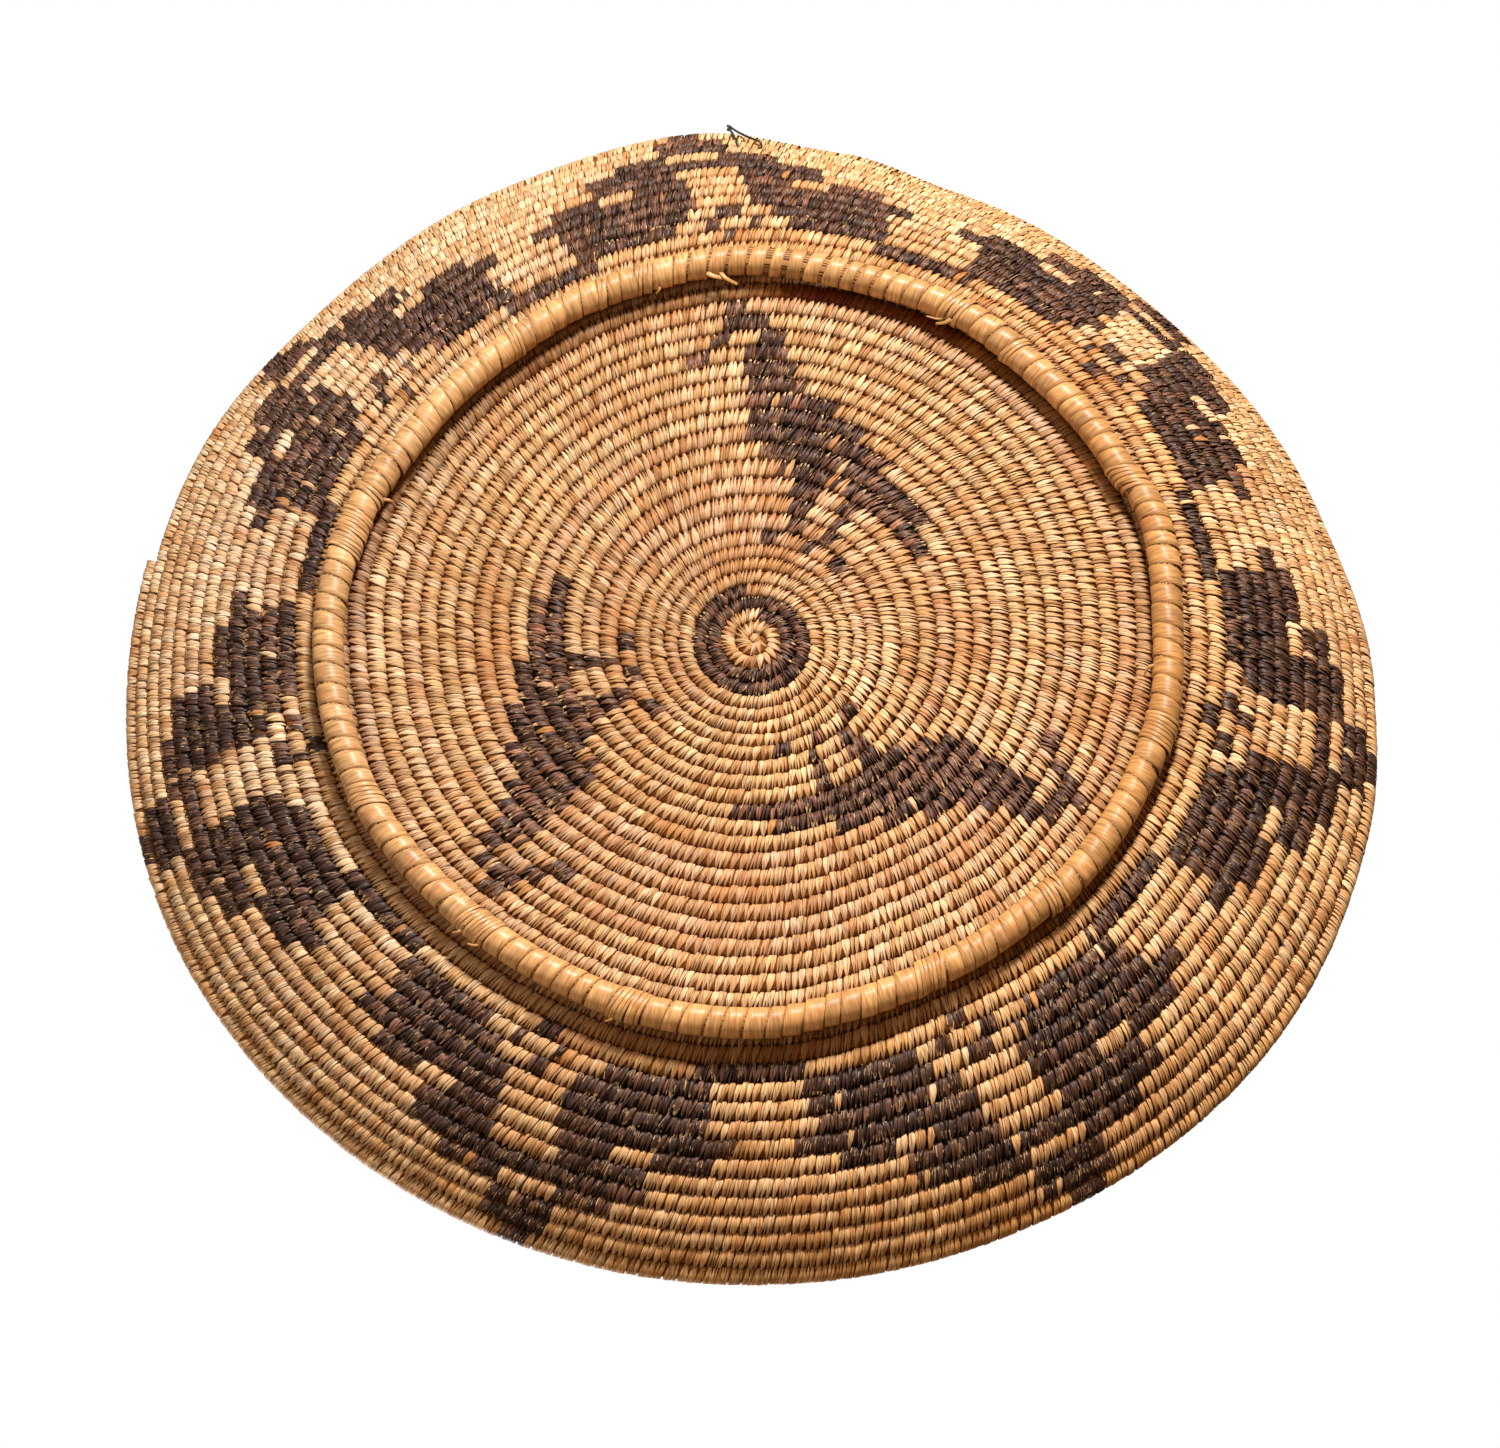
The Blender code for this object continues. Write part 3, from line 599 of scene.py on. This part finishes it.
# label, first and last turn, node, and in how many meshes
spans = (("start", 0, coil["eyeFrom"], "start_coil", 1),
         ("eye_ring", coil["eyeFrom"], coil["eyeTo"], "eye_ring_coil", 1),
         ("base", coil["eyeTo"], baseTo, "base_coil", 6), ("lower_wall", baseTo, lowerTo, "lower_wall_coil", 3),
         ("upper_wall", lowerTo, lastTurn - 1, "upper_wall_coil", 4),
         ("rim", lastTurn - 1, lastTurn, "rim_coil", 1))
for label, first, last, node, pieces in spans:
    look = looks.get(label, (stitchShape, (0.1, 0.75), drops6))
    for number in range(pieces):
        low = first + (last - first) * number / pieces
        high = first + (last - first) * (number + 1) / pieces
        here = (turns[owner] >= low) & (turns[owner] < high)
        mark = "_%d" % (number + 1) if pieces > 1 else ""
        addStitches(label + "_straw_stitches" + mark, here & ~dark[owner], strawMaterial, "straw_splint", node,
                    *look)
        addStitches(label + "_dark_stitches" + mark, here & dark[owner], darkMaterial, "dark_splint", node,
                    *look)
print("coil done")

coreTurns = np.arange(coil["firstTurn"], lastTurn - 0.0008, 1 / 72)
coreFrames = coilFrame(coreTurns)
coreShrink = rowSize(coreTurns)
foundation = tube("coil_foundation", coreFrames[0], coreFrames[2], coreFrames[3],
                  0.5 * rowGap(coreTurns) + 0.00012, (coil["halfThick"] - coil["coreInset"]) * coreShrink,
                  8, coreMaterial)
addAttributes(foundation.data, dict(dark=np.repeat(isDark(coreTurns).astype(float), 8)))
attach(foundation, "root")


def ringFrame(angle):
    # point = radius share (cos a, sin a) at the ring's height; along = round it; out = outward; away = down
    out = np.stack([np.cos(angle), np.sin(angle), 0 * angle], 1)
    along = np.stack([-np.sin(angle), np.cos(angle), 0 * angle], 1)
    point = ring["radius"] * around(ringShares, angle)[:, None] * out \
        + np.array([*coil["centre"], ring["height"]])
    away = np.broadcast_to(np.array([0, 0, -1.0]), out.shape)
    return point, along, out, away


def wrapStops():
    # the wraps' edges in degrees: narrow strips at the splices, wide ones between
    splices = ((22.5, 3.2), (49, 1.2), (60, 2.2), (105, 2.4), (112, 1.2), (127, 1.2), (159, 1.2), (166, 3.4),
               (206, 2.6), (231, 3.0), (253.5, 3.2), (296, 2.4), (317, 1.4), (346, 2.2))
    stops = [0.0]
    while stops[-1] < 360:
        near = min(abs(stops[-1] - at) / wide for at, wide in splices)
        mean = ring["narrowDegrees"] if near < 1 else ring["wrapDegrees"] if not 299 < stops[-1] < 315 else 1.6
        stops.append(stops[-1] + mean * (0.75 + 0.5 * chance.random()))
    return np.array(stops) * 360 / stops[-1]


stops = wrapStops()
middles = np.radians(180 - (stops[1:] + stops[:-1]) / 2)
narrow = np.diff(stops) < 1.1
wrapCount = len(middles)
wrapAt = np.degrees(math.pi - middles) % 360
opened = (wrapAt > ring["openFrom"]) & (wrapAt < ring["openTo"])
closeness = np.where(opened, chance.uniform(*ring["openShares"], wrapCount),
                     chance.uniform(*ring["closedShares"], wrapCount))
for at, reach, close in ring["gaps"]:
    closeness[np.abs(wrapAt - at) < reach] = close
halves = np.radians(np.diff(stops)) / 2 * ring["radius"] * closeness
lift = np.where(narrow, 0.0002 + 0.0005 * chance.random(wrapCount), 0.00012 * chance.random(wrapCount))
wrapTint = np.array(ring["tint"]) * (0.86 + 0.26 * chance.random((wrapCount, 1))) \
    * (1 + 0.05 * chance.standard_normal((wrapCount, 1)) * np.array([0.3, 0.7, 1.2]))
across7 = np.array([-1, -0.9, -0.45, 0, 0.45, 0.9, 1.0])
drops7 = np.array([0.00035, 0.00003, 0.00001, 0, 0.00001, 0.00003, 0.00035])
# how much of each wrap lies to the right, left, top and bottom of the photo, and the painted light and shade
# that adds to its tint: darker on the right, a paler painted highlight on the left, lighter at the top and bottom
ringSide = np.stack([np.clip(-np.cos(middles), 0, 1), np.clip(np.cos(middles), 0, 1),
                     np.clip(np.sin(middles), 0, 1), np.clip(-np.sin(middles), 0, 1)], 1) ** 2
ringSideLight = np.array([(-0.06, -0.14, -0.26), (0.06, 0.13, 0.3), (0.1, 0.12, 0.14), (0.22, 0.17, 0.12)])
wrapTint *= 1 + ringSide @ ringSideLight
wrapSize = ring["tubeRadius"] + lift
wrapShape = dict(stations=np.arange(0, 360, 15), outerPower=2.0, innerPower=2.0, outerStart=0.5,
                 innerStart=0.5, tipped=0.0)
wrapOnes = np.ones(wrapCount)
thickness = np.minimum(wrapSize, ring["height"] - 0.00003)
wrapLean = ring["lean"] + 0.05 * chance.standard_normal(wrapCount)
points, quads, across, strand, tipped = bands(ringFrame(middles), halves, wrapSize, wrapSize, thickness, wrapLean,
                                              0 * wrapOnes, wrapShape, (wrapOnes, wrapOnes), across7, drops7)
wraps = addMesh("foot_ring_wrapping", points, quads, caneMaterial,
                dict(across=across, strand=strand,
                     tint=np.repeat(wrapTint, len(wrapShape["stations"]) * len(across7), axis=0),
                     split=np.full(len(points), stitch["noSplit"]), tipped=0 * tipped))
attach(wraps, "root")
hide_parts(*[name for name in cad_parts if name.startswith(("foot_wrap", "foot_lashing"))])
coreAngles = np.radians(np.arange(0, 360, 1.0))
coreRing = ringFrame(coreAngles)
coreSize = np.full(360, ring["coreRadius"])
core = tube("foot_core", coreRing[0], coreRing[2], coreRing[3], coreSize, coreSize, 40, bundleMaterial, True)
aroundCore = 2 * math.pi * np.arange(40) / 40
laneGrid = np.stack(np.broadcast_arrays(9 * np.cos(aroundCore)[None], 9 * np.sin(aroundCore)[None],
                                        0.05 * np.arange(360)[:, None]), -1)
addAttributes(core.data, dict(lane=laneGrid.reshape(-1, 3)))
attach(core, "root")
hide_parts("foot_ring_core")
print("foot ring done")

# The knot in the middle: three short splints across each other
knot = dict(long=0.0016, thick=0.0012, half=0.00075, lift=0.0003)
knotAngles = np.radians([10, 75, 130])
knotOnes = np.ones(3)
knotPoint = np.array([*coil["centre"], coil["baseHeight"]]) + np.zeros((3, 3))
knotPoint[:, 2] -= knot["lift"] * np.array([1, 1.6, 2.2])
knotUp = np.stack([np.cos(knotAngles), np.sin(knotAngles), 0 * knotOnes], 1)
knotAlong = np.stack([-np.sin(knotAngles), np.cos(knotAngles), 0 * knotOnes], 1)
knotAway = np.broadcast_to(np.array([0, 0, -1.0]), (3, 3))
points, quads, across, strand, tipped = bands((knotPoint, knotAlong, knotUp, knotAway), knot["half"] * knotOnes,
                                              knot["long"] * knotOnes, knot["long"] * knotOnes,
                                              knot["thick"] * knotOnes, 0 * knotOnes, 0 * knotOnes, stitchShape,
                                              (0.5 * knotOnes, 0.5 * knotOnes), across6, drops6 * 0.6)
knotTint = np.repeat(strawTint[[5, 9, 14]], len(stitchShape["stations"]) * len(across6), axis=0)
button = addMesh("center_knot_stitches", points, quads, strawMaterial,
                 dict(across=across, strand=strand, tint=knotTint, split=np.full(len(points), stitch["noSplit"]),
                      tipped=tipped))
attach(button, "root")
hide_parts("center_knot")


def frameAlong(path):
    # one tangent for each point and two directions across it
    tangent = np.gradient(path, axis=0)
    tangent /= np.linalg.norm(tangent, axis=1)[:, None]
    first = np.cross(tangent, np.array([0.31, 0.22, 0.92]))
    first /= np.linalg.norm(first, axis=1)[:, None]
    return first, np.cross(tangent, first)


def smoothPath(corners, steps):
    # Catmull-Rom: (2b + (c - a)t + (2a - 5b + 4c - d)t^2 + (3b - a - 3c + d)t^3) / 2
    corners = np.array(corners)
    a, b = corners[[0, *range(len(corners) - 2)]], corners[:-1]
    c, d = corners[1:], corners[[*range(2, len(corners)), -1]]
    t = (np.arange(steps) / steps)[None, :, None]
    a, b, c, d = (part[:, None, :] for part in (a, b, c, d))
    curve = (2 * b + (c - a) * t + (2 * a - 5 * b + 4 * c - d) * t ** 2 + (3 * b - a - 3 * c + d) * t ** 3) / 2
    return np.concatenate([curve.reshape(-1, 3), corners[-1:]])


# corners of the wire as (along, up, away) in mm from the rim's middle line; it goes through between two rows
wire = dict(radius=0.00032, back=0.789)
wireCorners = ((2.6, 1.5, -3.0), (2.8, -3.5, -3.0), (2.9, -7.4, -2.7), (2.9, -7.5, 0.0), (2.7, -7.2, 2.9),
               (0.0, -4.0, 3.2), (-3.6, 0.2, 3.8), (-5.4, 2.0, 4.5), (-6.5, 2.9, 4.7), (-6.6, 2.2, 5.2),
               (-5.8, 1.8, 5.0), (-5.9, 1.9, 4.0), (-6.6, 1.7, 4.1), (-6.4, 0.8, 4.6), (-5.5, -0.4, 4.0),
               (-4.6, -3.6, 3.1), (-3.9, -7.1, 2.8), (-3.8, -7.5, 0.0), (-3.7, -7.4, -2.7), (-3.2, -3.4, -3.0),
               (-2.6, 1.6, -3.0))
rimPoint, rimAlong, rimUp, rimAway, _ = (part[0] for part in coilFrame(np.array([lastTurn - wire["back"]])))
wirePlaces = mm * np.array(wireCorners)
wirePlaces = rimPoint + wirePlaces[:, :1] * rimAlong + wirePlaces[:, 1:2] * rimUp + wirePlaces[:, 2:] * rimAway
wirePath = smoothPath(wirePlaces, 5)
wireSide, wireUp = frameAlong(wirePath)
wireSize = np.full(len(wirePath), wire["radius"])
hanger = tube("hanger_wire_bent", wirePath, wireSide, wireUp, wireSize, wireSize, 10, ironMaterial)
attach(hanger, "root")
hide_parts("hanger_wire")

# (degrees, where round the tube it leaves, reach along the ring, reach inward, reach down, half width), in mm
looseEnds = ((60, 200, -3.5, 3.0, 1.0, 0.7), (61, 190, -5.0, 2.0, 0.2, 0.45), (95, 195, 4.5, 3.4, 1.5, 0.8),
             (97, 200, 6.0, 2.0, 1.0, 0.9), (104, 185, -1.5, 1.6, 0.8, 0.5), (159, 190, 1.0, 3.2, 1.6, 0.6),
             (317, 170, -1.6, 1.0, -0.6, 0.6), (354, 200, 3.0, 2.6, 1.2, 0.5), (229, -20, 2.0, -2.4, 1.0, 0.6),
             (232, -15, 3.0, -2.0, 0.6, 0.5), (252, -10, 2.2, -2.2, 0.8, 0.5))
looseEnd = dict(thick=0.00014, sunk=0.0002, tipShare=0.55, sides=8)
for number, (degrees, leave, reachAlong, inward, down, half) in enumerate(looseEnds, 1):
    point, along, out, away = (part[0] for part in ringFrame(np.array([math.radians(180 - degrees)])))
    angle = math.radians(leave)
    start = point + (ring["tubeRadius"] - looseEnd["sunk"]) \
        * (math.cos(angle) * out + math.sin(angle) * away * -1)
    under = point + (ring["tubeRadius"] + looseEnd["sunk"]) \
        * (math.cos(angle - 0.5) * out + math.sin(angle - 0.5) * away * -1)
    tip = start + mm * (reachAlong * along - inward * out - down * away)
    bend = start + mm * (0.35 * reachAlong * along - 0.7 * inward * out + 0.2 * down * away)
    route = smoothPath([under, start, bend, tip], 6)
    side, up = frameAlong(route)
    end = tube("foot_loose_end_%02d" % number, route, side, up,
               mm * half * np.linspace(1, looseEnd["tipShare"], len(route)),
               np.full(len(route), looseEnd["thick"]), looseEnd["sides"], caneMaterial)
    pointCount = len(route) * looseEnd["sides"]
    extra = dict(across=np.full(pointCount, 0.3), split=np.full(pointCount, stitch["noSplit"]),
                 tipped=np.zeros(pointCount), tint=np.tile(wrapTint[number], (pointCount, 1)),
                 strand=np.tile((0.0002, 0.001, 0.5), (pointCount, 1)))
    addAttributes(end.data, extra)
    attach(end, "root")
print("knot, wire and loose ends done")

# The floor shows pale to the camera from above; from below, and to all other rays, it is clear
floorNet = Net("pale floor")
pale = floorNet.node("ShaderNodeBsdfDiffuse", None, Color=(0.82, 0.82, 0.81))
clear = floorNet.node("ShaderNodeBsdfTransparent")
floorRays = floorNet.node("ShaderNodeLightPath")
facing = floorNet.node("ShaderNodeNewGeometry")
seen = Wire(floorNet, floorRays.outputs["Is Camera Ray"]) \
    * (1 - Wire(floorNet, facing.outputs["Backfacing"]))
mixed = floorNet.node("ShaderNodeMixShader", None, Fac=seen)
floorNet.tree.links.new(clear.outputs[0], mixed.inputs[1])
floorNet.tree.links.new(pale.outputs[0], mixed.inputs[2])
floorNet.tree.links.new(mixed.outputs[0], floorNet.tree.nodes["Material Output"].inputs["Surface"])
floorPoints = np.array([(-6, -6, 0), (6, -6, 0), (6, 6, 0), (-6, 6, 0)], float)
floor = addMesh("floor", floorPoints, np.array([[0, 1, 2, 3]]), floorNet.material, None, False)

# The world is white to the camera, also through clear things, and a dim warm light to everything else
world = bpy.data.worlds.new("studio")
bpy.context.scene.world = world
world.use_nodes = True
tree = world.node_tree
background = tree.nodes["Background"]
rays = tree.nodes.new("ShaderNodeLightPath")
direct = tree.nodes.new("ShaderNodeMath")
direct.operation = "MAXIMUM"
tree.links.new(rays.outputs["Is Camera Ray"], direct.inputs[0])
tree.links.new(rays.outputs["Is Transmission Ray"], direct.inputs[1])
shade = tree.nodes.new("ShaderNodeMix")
shade.data_type = "RGBA"
shade.inputs[6].default_value = (0.235, 0.165, 0.09, 1)
shade.inputs[7].default_value = (1, 1, 1, 1)
tree.links.new(direct.outputs[0], shade.inputs[0])
tree.links.new(shade.outputs[2], background.inputs["Color"])


def addLamp(name, place, size, power, target=(0, 0, 0.02)):
    # a round lamp that faces the target
    lamp = bpy.data.lights.new(name, "AREA")
    lamp.shape = "DISK"
    lamp.size = size
    lamp.energy = power
    item = bpy.data.objects.new(name, lamp)
    item.location = place
    item.rotation_euler = (Vector(target) - Vector(place)).to_track_quat("-Z", "Y").to_euler()
    bpy.context.scene.collection.objects.link(item)


addLamp("key from below", (-0.2, 0.85, -1.1), 0.3, 36)
addLamp("fill from below", (0.9, -0.5, -1.1), 1.0, 7)
addLamp("key from above", (0.9, -0.8, 1.5), 0.7, 34)

view = dict(tilt=25.25, distance=1.6, lens=140.1, aim=(0, 0, 0.03), right=4.0 / 3660, down=56.0 / 3660)
tilt = math.radians(view["tilt"])
back = Vector((0, -math.sin(tilt), -math.cos(tilt)))
upward = Vector((0, math.cos(tilt), -math.sin(tilt)))
right = Vector((-1, 0, 0))
place = Vector(view["aim"]) + view["distance"] * back
target = Vector(view["aim"]) - view["right"] * right - view["down"] * upward
backward = (place - target).normalized()
side = (right - right.dot(backward) * backward).normalized()
camera = bpy.data.cameras.new("camera")
camera.lens = view["lens"]
camera.sensor_width = 36
eye = bpy.data.objects.new("camera", camera)
cameraTurn = Matrix((side, backward.cross(side), backward)).transposed().to_4x4()
eye.matrix_world = Matrix.Translation(place) @ cameraTurn
bpy.context.scene.collection.objects.link(eye)
scene = bpy.context.scene
scene.camera = eye
scene.view_settings.view_transform = "Standard"
